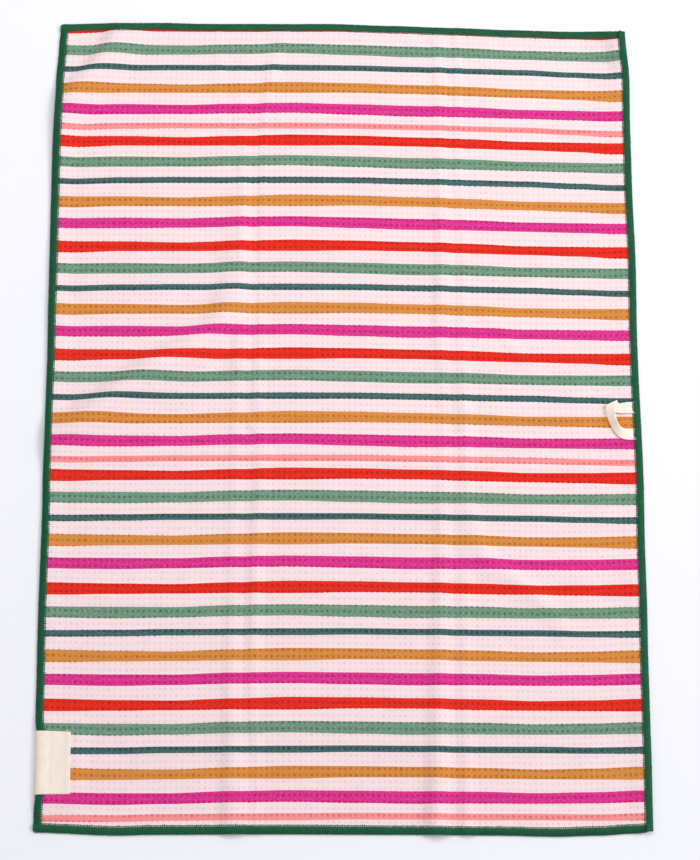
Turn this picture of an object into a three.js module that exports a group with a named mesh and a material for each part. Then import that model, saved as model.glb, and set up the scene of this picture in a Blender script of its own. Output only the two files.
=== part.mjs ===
// A hand towel spread out face up on a flat surface.
// Millimetres, +Z up. X runs across the towel, Y along its length, and the
// surface is at Z = 0, with the origin under the middle of the towel.
//
// The towel is first laid out flat: every piece is worked out in flat places
// (across, along), and layAt() then puts a flat place where it really lies,
// on the slightly bowed outline and up on the folds.

import * as THREE from 'three';

// Driving sizes

const halfWidth = 255.4;
const halfLength = 355.7;
const clearance = 0.3;

const cloth = { thickness: 1.2, pinched: 0.8 };
const edging = { width: 6.4, thickness: 2.8, grip: 4.6, nose: 0.8, tip: 0.1 };
const edgeBand = 8.4;
const edgeRamp = 14;
const clothInset = edging.width - edging.grip;
const clothHalfWidth = halfWidth - clothInset;
const clothHalfLength = halfLength - clothInset;
const bandHalfWidth = halfWidth - edgeBand;
const bandHalfLength = halfLength - edgeBand;

const label = { length: 52, centre: -299.5, width: 30, thickness: 1.0, cells: 4 };
const labelLift = label.thickness + clearance;
const labelMargin = 3;

const loop = { thickness: 1.0, centre: -6.7, stepsPerRow: 3 };

// How far each side bows out past the straight outline, at places along it

const leftBow = [
  { at: -356, out: -2.2 }, { at: -340, out: -1.5 }, { at: -325, out: -2.2 },
  { at: -275, out: -1.6 }, { at: -262, out: -0.4 }, { at: -170, out: 0.3 },
  { at: -90, out: 0.0 }, { at: -60, out: 0.5 }, { at: 40, out: 0.1 },
  { at: 110, out: 0.6 }, { at: 180, out: 1.3 }, { at: 245, out: 1.9 },
  { at: 300, out: 0.4 }, { at: 335, out: -1.2 }, { at: 356, out: -2.6 },
];
const rightBow = [
  { at: -356, out: -0.4 }, { at: -300, out: 0.2 }, { at: -220, out: 0.4 },
  { at: -160, out: 1.1 }, { at: -120, out: 1.0 }, { at: -60, out: 1.9 },
  { at: 60, out: 0.6 }, { at: 140, out: 1.7 }, { at: 200, out: 0.9 },
  { at: 270, out: 1.1 }, { at: 306, out: 1.8 }, { at: 356, out: -0.8 },
];
const topBow = [
  { at: -255, out: -0.8 }, { at: -196, out: 2.3 }, { at: -160, out: 2.8 },
  { at: -130, out: 2.2 }, { at: -60, out: 2.9 }, { at: -15, out: 3.8 },
  { at: 40, out: 2.4 }, { at: 100, out: 1.1 }, { at: 150, out: -0.3 },
  { at: 200, out: -1.1 }, { at: 255, out: 0.0 },
];
const bottomBow = [
  { at: -255, out: 0.4 }, { at: -186, out: 3.0 }, { at: -160, out: 2.4 },
  { at: -60, out: 2.0 }, { at: 50, out: 2.5 }, { at: 125, out: 3.0 },
  { at: 176, out: 3.8 }, { at: 210, out: 3.0 }, { at: 240, out: 1.1 },
  { at: 255, out: -0.4 },
];

// The folds left in the cloth. Each is a soft ridge along a route, with its
// height at each place of the route, and how far it spreads on its left and
// right as the route is followed.

const folds = [
  { name: 'left crease, outer ridge', left: 9, right: 14, route: [
    { x: -95, y: 365, high: 0.8 }, { x: -90, y: 215, high: 1.2 }, { x: -90, y: 60, high: 2.6 },
    { x: -90, y: -80, high: 2.8 }, { x: -91, y: -210, high: 3.0 }, { x: -90, y: -365, high: 3.0 },
  ] },
  { name: 'left crease, inner ridge', left: 20, right: 7, route: [
    { x: -60, y: 365, high: 2.6 }, { x: -66, y: 300, high: 2.2 }, { x: -74, y: 160, high: 1.8 },
    { x: -73, y: -10, high: 1.8 }, { x: -71, y: -165, high: 2.2 }, { x: -72, y: -365, high: 2.0 },
  ] },
  { name: 'right crease, inner ridge', left: 11, right: 14, route: [
    { x: 84, y: 365, high: 2.4 }, { x: 83, y: 190, high: 2.4 }, { x: 80, y: -10, high: 2.2 },
    { x: 79, y: -165, high: 2.8 }, { x: 77, y: -365, high: 3.8 },
  ] },
  { name: 'right crease, outer ridge', left: 16, right: 9, route: [
    { x: 108, y: 365, high: 1.4 }, { x: 107, y: 190, high: 1.2 }, { x: 104, y: -10, high: 1.6 },
    { x: 102, y: -165, high: 1.6 }, { x: 101, y: -365, high: 1.8 },
  ] },
  { name: 'curved wrinkle from the left edge', left: 18, right: 26, route: [
    { x: -262, y: -52, high: 2.4 }, { x: -224, y: -4, high: 5.4 }, { x: -190, y: 18, high: 5.4 },
    { x: -158, y: 42, high: 5.0 }, { x: -126, y: 66, high: 4.4 }, { x: -102, y: 94, high: 3.8 },
    { x: -92, y: 140, high: 3.0 }, { x: -90, y: 200, high: 1.6 }, { x: -90, y: 250, high: 0 },
  ] },
  { name: 'wrinkle right of the right crease', left: 16, right: 15, route: [
    { x: 102, y: -58, high: 0 }, { x: 107, y: -94, high: 2.6 }, { x: 121, y: -127, high: 3.6 },
    { x: 158, y: -154, high: 3.4 }, { x: 184, y: -190, high: 2.2 }, { x: 198, y: -225, high: 0 },
  ] },
  { name: 'ridge across the top left corner', left: 24, right: 30, route: [
    { x: -256, y: 120, high: 0 }, { x: -252, y: 200, high: 2.6 }, { x: -244, y: 262, high: 4.6 },
    { x: -224, y: 312, high: 5.2 }, { x: -192, y: 342, high: 4.2 }, { x: -160, y: 366, high: 2.0 },
  ] },
  { name: 'top right corner curling up', left: 52, right: 40, route: [
    { x: 266, y: 372, high: 7.5 }, { x: 262, y: 320, high: 5.4 }, { x: 260, y: 270, high: 2.6 },
    { x: 260, y: 205, high: 0 },
  ] },
  { name: 'left edge standing off the surface', left: 30, right: 40, route: [
    { x: -258, y: 160, high: 0 }, { x: -258, y: 110, high: 2.4 }, { x: -258, y: 30, high: 2.0 },
    { x: -258, y: -70, high: 2.8 }, { x: -258, y: -130, high: 0 },
  ] },
  { name: 'right edge rising at the bottom', left: 30, right: 26, route: [
    { x: 258, y: -170, high: 0 }, { x: 258, y: -250, high: 1.4 }, { x: 258, y: -365, high: 2.4 },
  ] },
  { name: 'cross crease', left: 8, right: 8, route: [
    { x: -70, y: -8, high: 0 }, { x: -40, y: -7, high: 1.2 }, { x: 60, y: -6, high: 0.9 },
    { x: 190, y: -5, high: 0.7 }, { x: 224, y: -5, high: 0 },
  ] },
];
const foldSteps = 48;

// Where the cloth is divided, closest where the creases run

const acrossSpans = [
  { to: -bandHalfWidth, cells: 1 }, { to: -241, cells: 1 }, { to: -233, cells: 1 },
  { to: -222, cells: 1 }, { to: -112, cells: 7 }, { to: -62, cells: 10 }, { to: 64, cells: 7 },
  { to: 114, cells: 9 }, { to: 222, cells: 7 }, { to: 233, cells: 1 }, { to: 241, cells: 1 },
  { to: bandHalfWidth, cells: 1 }, { to: clothHalfWidth, cells: 1 },
];
const alongSpans = [
  { to: -bandHalfLength, cells: 1 }, { to: -341, cells: 1 }, { to: -329, cells: 1 },
  { to: -270, cells: 3 }, { to: -24, cells: 14 }, { to: 12, cells: 4 }, { to: 332, cells: 18 },
  { to: 341, cells: 1 }, { to: bandHalfLength, cells: 1 }, { to: clothHalfLength, cells: 1 },
];

// The hanging loop's tape, row by row from its upper end to its lower end.
// a and b are its two edges: how far in from the edging, how far up the towel
// from the loop's middle, and how high. Between rows 5 and 8 it folds over.

const loopRows = [
  { a: [0.0, 16.4, 2.65], b: [0.0, 6.4, 2.65] },
  { a: [5.6, 16.1, 2.9], b: [5.8, 6.1, 2.8] },
  { a: [9.9, 15.2, 3.0], b: [10.6, 6.0, 2.6] },
  { a: [12.2, 15.0, 3.0], b: [16.4, 7.4, 2.3] },
  { a: [13.2, 15.8, 3.0], b: [20.6, 10.4, 2.1] },
  { a: [13.6, 16.5, 3.1], b: [22.5, 12.5, 2.1] },
  { a: [13.9, 17.4, 3.8], b: [22.9, 13.4, 2.8] },
  { a: [14.2, 16.6, 4.5], b: [23.3, 12.6, 3.5] },
  { a: [15.3, 13.0, 6.0], b: [23.8, 10.0, 3.1] },
  { a: [15.8, 8.0, 7.4], b: [23.6, 6.0, 2.5] },
  { a: [15.3, 2.8, 7.8], b: [22.9, 1.0, 2.2] },
  { a: [13.9, -2.3, 7.2], b: [21.0, -4.8, 2.1] },
  { a: [11.6, -6.2, 5.8], b: [17.6, -11.2, 2.1] },
  { a: [8.2, -7.9, 4.2], b: [12.8, -15.8, 2.3] },
  { a: [4.4, -7.9, 3.1], b: [6.6, -17.2, 2.5] },
  { a: [0.0, -7.4, 2.65], b: [0.0, -17.2, 2.65] },
];

// From flat places to where the towel lies

function smoothStep(share) {
  const part = THREE.MathUtils.clamp(share, 0, 1);
  return part * part * (3 - 2 * part);
}

function bowAt(rows, place) {
  if (place <= rows[0].at) return rows[0].out;
  const next = rows.findIndex((row) => row.at >= place);
  if (next < 0) return rows[rows.length - 1].out;
  const before = rows[next - 1];
  const after = rows[next];
  const share = smoothStep((place - before.at) / (after.at - before.at));
  return THREE.MathUtils.lerp(before.out, after.out, share);
}

function traceRoute(fold) {
  const places = fold.route.map((row) => new THREE.Vector3(row.x, row.y, row.high));
  return new THREE.CatmullRomCurve3(places, false, 'centripetal').getPoints(foldSteps);
}

const tracedFolds = folds.map((fold) => ({ ...fold, traced: traceRoute(fold) }));

function foldHeight(fold, x, y) {
  let nearest = { distance: Infinity, high: 0, side: 1 };
  for (let step = 1; step < fold.traced.length; step += 1) {
    const from = fold.traced[step - 1];
    const to = fold.traced[step];
    const dx = to.x - from.x;
    const dy = to.y - from.y;
    const reach = ((x - from.x) * dx + (y - from.y) * dy) / (dx * dx + dy * dy);
    const share = THREE.MathUtils.clamp(reach, 0, 1);
    const offX = x - from.x - dx * share;
    const offY = y - from.y - dy * share;
    const distance = Math.hypot(offX, offY);
    if (distance < nearest.distance) {
      const high = Math.max(0, THREE.MathUtils.lerp(from.z, to.z, share));
      nearest = { distance, high, side: dx * offY - dy * offX };
    }
  }
  const spread = nearest.side > 0 ? fold.left : fold.right;
  const fall = nearest.distance / spread;
  if (fall >= 1) return 0;
  return nearest.high * 0.5 * (1 + Math.cos(Math.PI * fall));
}

// The towel lies over the back half of its label, so it stands higher there.
function liftOverLabel(across, along) {
  const pastEnd = Math.abs(along - label.centre) - label.length / 2 - labelMargin;
  const pastSide = across + halfWidth - label.width - labelMargin;
  const away = Math.hypot(Math.max(0, pastEnd), Math.max(0, pastSide));
  return labelLift * (1 - smoothStep(away / edgeRamp));
}

// Across the edging's own width the cloth doesn't rise or fall, so the folds
// are read at the nearest place inside that band.
function foldLift(across, along) {
  const x = THREE.MathUtils.clamp(across, -bandHalfWidth, bandHalfWidth);
  const y = THREE.MathUtils.clamp(along, -bandHalfLength, bandHalfLength);
  const lifts = tracedFolds.map((fold) => foldHeight(fold, x, y));
  return Math.hypot(...lifts, liftOverLabel(x, y));
}

function distanceFromEdge(across, along) {
  return Math.min(halfWidth - Math.abs(across), halfLength - Math.abs(along));
}

// Height of the middle of the cloth: inside the edging it runs at the middle
// of the thicker edging, and from there it comes down to lie on the surface.
function middleHeight(across, along) {
  const ramp = smoothStep((distanceFromEdge(across, along) - edgeBand) / edgeRamp);
  const rest = THREE.MathUtils.lerp(edging.thickness / 2, cloth.thickness / 2, ramp);
  return rest + foldLift(across, along);
}

function halfThickness(across, along) {
  const share = (distanceFromEdge(across, along) - edgeBand) / (edgeRamp / 2);
  return THREE.MathUtils.lerp(cloth.pinched, cloth.thickness, smoothStep(share)) / 2;
}

function layAt(across, along, height) {
  const towardsRight = (1 + across / halfWidth) / 2;
  const towardsTop = (1 + along / halfLength) / 2;
  const x = across + bowAt(rightBow, along) * towardsRight - bowAt(leftBow, along) * (1 - towardsRight);
  const y = along + bowAt(topBow, across) * towardsTop - bowAt(bottomBow, across) * (1 - towardsTop);
  return new THREE.Vector3(x, y, height);
}

// Closed meshes

function closedGeometry(points, triangles) {
  let volume = 0;
  const cross = new THREE.Vector3();
  for (const [a, b, c] of triangles) {
    volume += points[a].dot(cross.crossVectors(points[b], points[c]));
  }
  const facingOut = volume > 0 ? triangles : triangles.map(([a, b, c]) => [a, c, b]);
  const geometry = new THREE.BufferGeometry();
  const positions = points.flatMap((point) => point.toArray());
  geometry.setAttribute('position', new THREE.Float32BufferAttribute(positions, 3));
  geometry.setIndex(facingOut.flat());
  geometry.computeVertexNormals();
  return geometry;
}

// Joins rings of the same number of points into a closed body. The outline is
// one ring seen flat, and is used to fill the two ends.
function loft(rings, outline) {
  const count = outline.length;
  const triangles = [];
  for (let ring = 1; ring < rings.length; ring += 1) {
    for (let side = 0; side < count; side += 1) {
      const a = (ring - 1) * count + side;
      const b = (ring - 1) * count + (side + 1) % count;
      triangles.push([a, b, a + count], [b, b + count, a + count]);
    }
  }
  const last = (rings.length - 1) * count;
  const clockwise = THREE.ShapeUtils.isClockWise(outline);
  for (const corners of THREE.ShapeUtils.triangulateShape(outline, [])) {
    const [a, b, c] = clockwise ? corners.toReversed() : corners;
    triangles.push([a, c, b], [last + a, last + b, last + c]);
  }
  return closedGeometry(rings.flat(), triangles);
}

function divide(start, spans) {
  const lines = [start];
  for (const span of spans) {
    const from = lines[lines.length - 1];
    for (let cell = 1; cell <= span.cells; cell += 1) {
      lines.push(from + (span.to - from) * cell / span.cells);
    }
  }
  return lines;
}

const acrossLines = divide(-clothHalfWidth, acrossSpans);
const alongLines = divide(-clothHalfLength, alongSpans);

// The towel cloth: one sheet, its cut edges held inside the edging

function towelGeometry() {
  const columns = acrossLines.length;
  const rows = alongLines.length;
  const points = [];
  for (const side of [1, -1]) {
    for (const along of alongLines) {
      for (const across of acrossLines) {
        const height = middleHeight(across, along) + side * halfThickness(across, along);
        points.push(layAt(across, along, Math.max(0, height)));
      }
    }
  }
  const under = columns * rows;
  const triangles = [];
  for (let row = 0; row < rows - 1; row += 1) {
    for (let column = 0; column < columns - 1; column += 1) {
      const a = row * columns + column;
      const b = a + 1;
      const c = a + columns;
      const d = c + 1;
      triangles.push([a, b, d], [a, d, c]);
      triangles.push([under + a, under + d, under + b], [under + a, under + c, under + d]);
    }
  }
  const rim = [];
  for (let column = 0; column < columns - 1; column += 1) rim.push(column);
  for (let row = 0; row < rows - 1; row += 1) rim.push(row * columns + columns - 1);
  for (let column = columns - 1; column > 0; column -= 1) rim.push((rows - 1) * columns + column);
  for (let row = rows - 1; row > 0; row -= 1) rim.push(row * columns);
  rim.forEach((a, place) => {
    const b = rim[(place + 1) % rim.length];
    triangles.push([a, under + a, b], [b, under + a, under + b]);
  });
  return closedGeometry(points, triangles);
}

// The edging: sewn thread wrapped over the cloth's cut edge. Its section is
// open towards the cloth. At an end that shows, the wrap closes the section.

const closingLength = 1.2;
const closedSlot = 0.2;

function edgingSection(closed) {
  const top = edging.thickness / 2;
  const slot = closed ? closedSlot / 2 : cloth.pinched / 2 + clearance;
  const bottom = closed ? edging.width - closedSlot : edging.width - edging.grip - clearance;
  const upper = [
    { inward: 0, up: top - edging.nose },
    { inward: edging.nose, up: top },
    { inward: edging.width, up: top - edging.tip },
    { inward: edging.width, up: slot },
    { inward: bottom, up: slot },
  ];
  const lower = upper.map(({ inward, up }) => ({ inward, up: -up })).reverse();
  return [...upper, ...lower];
}

function edgingGeometry(stations, placeAt) {
  const rings = stations.map(({ at, closed }) => (
    edgingSection(closed).map(({ inward, up }) => placeAt(at, inward, up))
  ));
  const outline = edgingSection(false).map(({ inward, up }) => new THREE.Vector2(inward, up));
  return loft(rings, outline);
}

// side is 1 for the right or top edge and -1 for the left or bottom edge.
function placeOnSide(side) {
  return (along, inward, up) => {
    const across = side * (halfWidth - inward);
    return layAt(across, along, middleHeight(side * halfWidth, along) + up);
  };
}

function placeOnEnd(side) {
  return (across, inward, up) => {
    const along = side * (halfLength - inward);
    return layAt(across, along, middleHeight(across, side * halfLength) + up);
  };
}

function stationsBetween(lines, start, end) {
  const between = lines.filter((line) => line > start.at && line < end.at);
  const stations = between.map((at) => ({ at, closed: false }));
  const opening = start.closed ? [start, { at: start.at + closingLength, closed: false }] : [start];
  const closing = end.closed ? [{ at: end.at - closingLength, closed: false }, end] : [end];
  return [...opening, ...stations, ...closing];
}

const endOverrun = 0.5;
const butt = edging.width + clearance;

const rightStations = stationsBetween(
  alongLines,
  { at: -halfLength - endOverrun, closed: true },
  { at: halfLength + endOverrun, closed: true },
);
const leftStations = stationsBetween(
  alongLines,
  { at: -halfLength + butt, closed: false },
  { at: halfLength - butt, closed: false },
);
const crossStations = stationsBetween(
  acrossLines,
  { at: -halfWidth - endOverrun, closed: true },
  { at: halfWidth - butt, closed: false },
);

// The care label: a bare tape folded round the left edging and sewn down

function labelSection() {
  const thick = label.thickness;
  const edgingUnder = labelLift;
  const edgingTop = labelLift + edging.thickness;
  const clothTop = (inward) => {
    const across = -halfWidth + inward;
    return middleHeight(across, label.centre) + halfThickness(across, label.centre);
  };
  const overCloth = acrossLines
    .map((line) => line + halfWidth)
    .filter((inward) => inward > edging.width && inward < label.width);
  const front = [...overCloth, label.width].map((inward, step) => ({
    inward,
    up: (step === 0 ? edgingTop : clothTop(inward)) + clearance,
  }));
  const inner = [
    { inward: label.width, up: thick },
    { inward: edging.nose, up: thick },
    { inward: -clearance, up: edgingUnder + edging.nose },
    { inward: -clearance, up: edgingTop - edging.nose + clearance / 2 },
    { inward: edging.nose, up: edgingTop + clearance },
    ...front,
  ];
  const outer = [
    ...front.map(({ inward, up }) => ({ inward, up: up + thick })).reverse(),
    { inward: edging.nose - clearance, up: edgingTop + clearance + thick },
    { inward: -clearance - thick, up: edgingTop - edging.nose + 2 * clearance },
    { inward: -clearance - thick, up: edgingUnder + edging.nose - clearance },
    { inward: edging.nose - clearance, up: 0 },
    { inward: label.width, up: 0 },
  ];
  return [...inner, ...outer];
}

function labelGeometry() {
  const section = labelSection();
  const rings = [];
  for (let cell = 0; cell <= label.cells; cell += 1) {
    const along = label.centre + label.length * (cell / label.cells - 0.5);
    rings.push(section.map(({ inward, up }) => layAt(-halfWidth + inward, along, up)));
  }
  return loft(rings, section.map(({ inward, up }) => new THREE.Vector2(inward, up)));
}

// The hanging loop: a tape sewn in at the right edging by both its ends

function loopEdge(key) {
  const start = layAt(halfWidth - butt, loop.centre, 0);
  const places = loopRows.map((row) => {
    const [inward, up, height] = row[key];
    return new THREE.Vector3(start.x - inward, start.y + up, height);
  });
  const curve = new THREE.CatmullRomCurve3(places, false, 'centripetal');
  const steps = (loopRows.length - 1) * loop.stepsPerRow;
  return Array.from({ length: steps + 1 }, (_, step) => curve.getPoint(step / steps));
}

function loopGeometry() {
  const edgeA = loopEdge('a');
  const edgeB = loopEdge('b');
  const last = edgeA.length - 1;
  const rings = edgeA.map((a, step) => {
    const b = edgeB[step];
    const before = Math.max(0, step - 1);
    const after = Math.min(last, step + 1);
    const run = new THREE.Vector3()
      .add(edgeA[after]).add(edgeB[after])
      .sub(edgeA[before]).sub(edgeB[before]);
    const out = new THREE.Vector3().subVectors(a, b).cross(run).setLength(loop.thickness / 2);
    return [
      a.clone().add(out), b.clone().add(out),
      b.clone().sub(out), a.clone().sub(out),
    ];
  });
  const outline = [
    new THREE.Vector2(1, 1), new THREE.Vector2(-1, 1),
    new THREE.Vector2(-1, -1), new THREE.Vector2(1, -1),
  ];
  return loft(rings, outline);
}

// The pieces

function piece(name, geometry, finish) {
  const mesh = new THREE.Mesh(geometry, new THREE.MeshStandardMaterial(finish));
  mesh.name = name;
  return mesh;
}

const clothFinish = { color: 0xf6dfe3, roughness: 0.92, metalness: 0 };
const threadFinish = { color: 0x2a5e42, roughness: 0.7, metalness: 0 };
const tapeFinish = { color: 0xfbf3e4, roughness: 0.88, metalness: 0 };
const labelFinish = { color: 0xf3e6d3, roughness: 0.85, metalness: 0 };

const group = new THREE.Group();
group.add(
  piece('towel_cloth', towelGeometry(), clothFinish),
  piece('edging_right', edgingGeometry(rightStations, placeOnSide(1)), threadFinish),
  piece('edging_left', edgingGeometry(leftStations, placeOnSide(-1)), threadFinish),
  piece('edging_top', edgingGeometry(crossStations, placeOnEnd(1)), threadFinish),
  piece('edging_bottom', edgingGeometry(crossStations, placeOnEnd(-1)), threadFinish),
  piece('hanging_loop', loopGeometry(), tapeFinish),
  piece('care_label', labelGeometry(), labelFinish),
);

export default group;
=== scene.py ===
import math

import bpy
import numpy as np
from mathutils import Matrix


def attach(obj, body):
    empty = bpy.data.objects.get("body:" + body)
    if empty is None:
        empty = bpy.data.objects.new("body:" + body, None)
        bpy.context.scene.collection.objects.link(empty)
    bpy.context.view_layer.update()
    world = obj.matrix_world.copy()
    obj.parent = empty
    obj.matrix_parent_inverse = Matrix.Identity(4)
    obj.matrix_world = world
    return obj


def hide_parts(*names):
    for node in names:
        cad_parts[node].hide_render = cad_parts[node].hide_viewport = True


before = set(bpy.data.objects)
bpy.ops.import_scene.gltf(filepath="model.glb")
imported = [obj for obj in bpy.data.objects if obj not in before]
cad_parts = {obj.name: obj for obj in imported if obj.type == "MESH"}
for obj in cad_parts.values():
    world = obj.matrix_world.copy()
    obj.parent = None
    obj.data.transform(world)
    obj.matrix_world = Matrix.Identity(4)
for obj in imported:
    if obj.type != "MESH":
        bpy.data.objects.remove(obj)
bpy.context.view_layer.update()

# The towel cloth: one piece of thin microfibre, woven in a waffle of small
# dimples and printed with brushed cross stripes. It was cut square and now lies
# face up, bowed a little at its sides, with the folds of its packing still in it.

MM = 0.001

# In millimetres: half the towel over its edging, and half the cloth that it holds.
half_width = 255.4
half_length = 355.7
cut_edge_inset = 1.8
cloth_half_width = half_width - cut_edge_inset
cloth_half_length = half_length - cut_edge_inset
edge_band = 8.4
edge_ramp = 14.0
cloth_thickness = 1.2
cloth_pinched = 0.8
edging_thickness = 2.8

# How far each side bows outwards: (place along the side, off).
left_bow = [
    (-356, -1.9), (-340, -1.2), (-325, -1.9), (-275, -1.3), (-262, -0.1), (-170, 0.6),
    (-90, 0.2), (-60, 0.7), (40, 0.4), (110, 1.2), (180, 1.8), (245, 2.2),
    (300, 1.0), (335, -0.8), (356, -2.3),
]
right_bow = [
    (-356, -0.4), (-300, 0.2), (-220, 0.4), (-160, 1.1), (-120, 1.0), (-60, 1.9),
    (60, 0.6), (140, 1.7), (200, 0.9), (270, 1.1), (306, 1.8), (356, -0.8),
]
top_bow = [
    (-255, 0.8), (-196, 2.7), (-160, 3.2), (-130, 2.7), (-60, 3.4), (-15, 4.1),
    (40, 2.9), (100, 1.6), (150, 0.2), (200, -0.7), (255, 0.3),
]
bottom_bow = [
    (-255, 0.8), (-186, 3.2), (-160, 2.6), (-60, 2.2), (50, 2.6), (125, 3.2),
    (176, 4.1), (210, 3.2), (240, 1.6), (255, 0.4),
]

# Each fold is a soft ridge: its route and height, and how far it spreads to the
# left and right of the way it runs: (across, along, height, left, right).
folds = {
    "left crease, outer ridge": [
        (-92, 366, 0.25, 10, 8), (-92, 275, 0.5, 10, 8), (-89, 228, 0.9, 10, 8),
        (-88, 172, 1.7, 12, 8), (-90, 117, 2.5, 16, 9), (-91, 62, 2.1, 15, 11),
        (-92, 18, 1.1, 9, 9), (-93, -53, 0.9, 9, 8), (-94, -114, 1.0, 9, 8),
        (-94, -182, 1.3, 12, 9), (-94, -248, 2.1, 16, 11), (-94, -322, 2.9, 21, 13),
        (-94, -366, 3.1, 21, 13),
    ],
    "left crease, inner ridge": [
        (-50, 366, 1.2, 14, 18), (-58, 335, 1.4, 12, 16), (-63, 313, 1.4, 10, 13),
        (-69, 275, 0.9, 7, 6), (-70, 228, 0.9, 7, 6), (-71, 172, 1.0, 7, 6),
        (-72, 117, 0.7, 6, 7), (-72, 62, 1.2, 8, 9), (-74, 18, 1.1, 8, 9),
        (-71, -53, 1.2, 11, 9), (-74, -114, 1.7, 11, 10), (-75, -182, 1.9, 9, 10),
        (-76, -248, 1.3, 8, 11), (-73, -322, 0.8, 7, 8), (-73, -366, 0.8, 7, 8),
    ],
    "left crease, faint ridge beyond it": [
        (-114, 366, 0.5, 8, 8), (-111, 300, 0.5, 8, 8), (-104, 230, 0.4, 8, 7),
        (-97, 180, 0, 6, 6),
    ],
    "right crease, inner ridge": [
        (84, 366, 1.3, 13, 8), (84, 316, 1.3, 13, 8), (85, 230, 1.1, 13, 8),
        (85, 174, 1.4, 14, 8), (84, 118, 1.8, 16, 9), (83, 64, 1.6, 15, 9),
        (86, 19, 0.7, 9, 8), (84, -52, 1.0, 12, 9), (82, -113, 1.7, 12, 10),
        (81, -181, 2.6, 13, 13), (79, -248, 2.7, 14, 14), (76, -322, 4.2, 15, 15),
        (76, -366, 4.6, 15, 15),
    ],
    "right crease, outer ridge": [
        (102, 366, 1.0, 6, 8), (102, 316, 1.0, 6, 8), (102, 230, 0.8, 6, 8),
        (105, 174, 0.6, 6, 8), (105, 118, 1.0, 6, 12), (104, 64, 1.0, 6, 14),
        (104, 19, 1.6, 9, 14), (104, -52, 1.2, 8, 11), (103, -113, 1.0, 9, 13),
        (102, -181, 1.1, 8, 10), (101, -248, 1.0, 8, 9), (101, -322, 1.8, 9, 10),
        (101, -366, 1.8, 9, 10),
    ],
    "curved wrinkle from the left edge": [
        (-262, -46, 1.0, 28, 26), (-229, -14, 6.4, 24, 28), (-204, 6, 7.6, 22, 30),
        (-169, 34, 7.6, 21, 32), (-131, 57, 6.6, 21, 28), (-108, 76, 5.2, 22, 24),
        (-98, 100, 4.2, 23, 19), (-93, 135, 2.6, 22, 13), (-90, 200, 0.9, 15, 9),
        (-90, 240, 0, 10, 10),
    ],
    "wrinkle right of the right crease": [
        (102, -58, 0, 10, 16), (107, -90, 1.6, 12, 22), (118, -122, 2.4, 12, 25),
        (146, -144, 2.2, 11, 20), (165, -160, 2.1, 11, 17), (182, -180, 1.4, 10, 16),
        (194, -202, 0, 10, 14),
    ],
    "ridge across the top left corner": [
        (-258, 150, 0, 16, 26), (-254, 215, 1.6, 14, 22), (-249, 262, 3.4, 15, 26),
        (-238, 291, 4.8, 16, 30), (-218, 318, 5.8, 16, 34), (-205, 342, 5.4, 16, 34),
        (-196, 368, 4.6, 16, 34),
    ],
    "top right corner rising": [
        (250, 376, 4.6, 70, 40), (250, 342, 4.1, 66, 40), (252, 306, 2.4, 54, 40),
        (256, 265, 0.8, 30, 40), (258, 215, 0, 26, 40),
    ],
    "top right corner curling up": [
        (252, 376, 7.4, 30, 28), (252, 340, 7.0, 28, 23), (254, 312, 4.2, 26, 22),
        (257, 282, 1.0, 22, 22), (258, 262, 0, 20, 20),
    ],
    "left edge standing off": [
        (-256, 170, 0.6, 24, 24), (-256, 110, 1.8, 24, 24), (-256, 40, 1.2, 24, 24),
        (-256, -70, 0.7, 24, 24), (-256, -125, 0.9, 24, 24), (-256, -190, 0, 24, 24),
    ],
    "right edge rising": [
        (258, -170, 0, 30, 26), (258, -250, 1.2, 30, 26), (258, -366, 2.0, 30, 26),
    ],
    "cross crease": [
        (-70, -8, 0, 9, 4), (-40, -7, 1.1, 9, 4), (60, -6, 0.9, 9, 4),
        (190, -5, 0.6, 9, 4), (224, -5, 0, 9, 4),
    ],
    "pinch beside the left crease": [
        (-88, -2, 0, 6, 5), (-82, -10, 1.0, 6, 5), (-71, -27, 1.1, 6, 5),
        (-60, -47, 0.4, 6, 5), (-54, -54, 0, 6, 5),
    ],
    "faint wrinkle right of middle": [
        (112, 104, 0, 9, 9), (124, 88, 0.7, 9, 9), (146, 60, 0.7, 9, 9), (174, 28, 0, 9, 9),
    ],
}
fold_steps = 48


def smooth_step(share):
    share = np.clip(share, 0.0, 1.0)
    return share * share * (3.0 - 2.0 * share)


def table_at(rows, place, column=1):
    """The value of a table at a place along it, eased from row to row."""
    at = np.array([row[0] for row in rows], float)
    value = np.array([row[column] for row in rows], float)
    after = np.clip(np.searchsorted(at, place), 1, len(at) - 1)
    share = smooth_step((place - at[after - 1]) / (at[after] - at[after - 1]))
    return value[after - 1] + (value[after] - value[after - 1]) * share


def smooth_route(places, steps, flat=3):
    """A smooth line through rows whose first columns, as many as flat, are a point."""
    places = np.array(places, float)
    last = len(places) - 1
    line = []
    for step in range(steps + 1):
        at = step / steps * last
        first = min(int(at), last - 1)
        share = at - first
        b, c = places[first], places[first + 1]
        a = places[first - 1] if first > 0 else 2 * b - c
        d = places[first + 2] if first + 2 <= last else 2 * c - b
        ab, bc, cd = (
            max(np.linalg.norm((q - p)[:flat]), 1e-6) ** 0.5 for p, q in ((a, b), (b, c), (c, d))
        )
        leave = ((b - a) / ab - (c - a) / (ab + bc) + (c - b) / bc) * bc
        reach = ((c - b) / bc - (d - b) / (bc + cd) + (d - c) / cd) * bc
        line.append(
            b + leave * share
            + (3 * (c - b) - 2 * leave - reach) * share ** 2
            + (2 * (b - c) + leave + reach) * share ** 3
        )
    return np.array(line)


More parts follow.
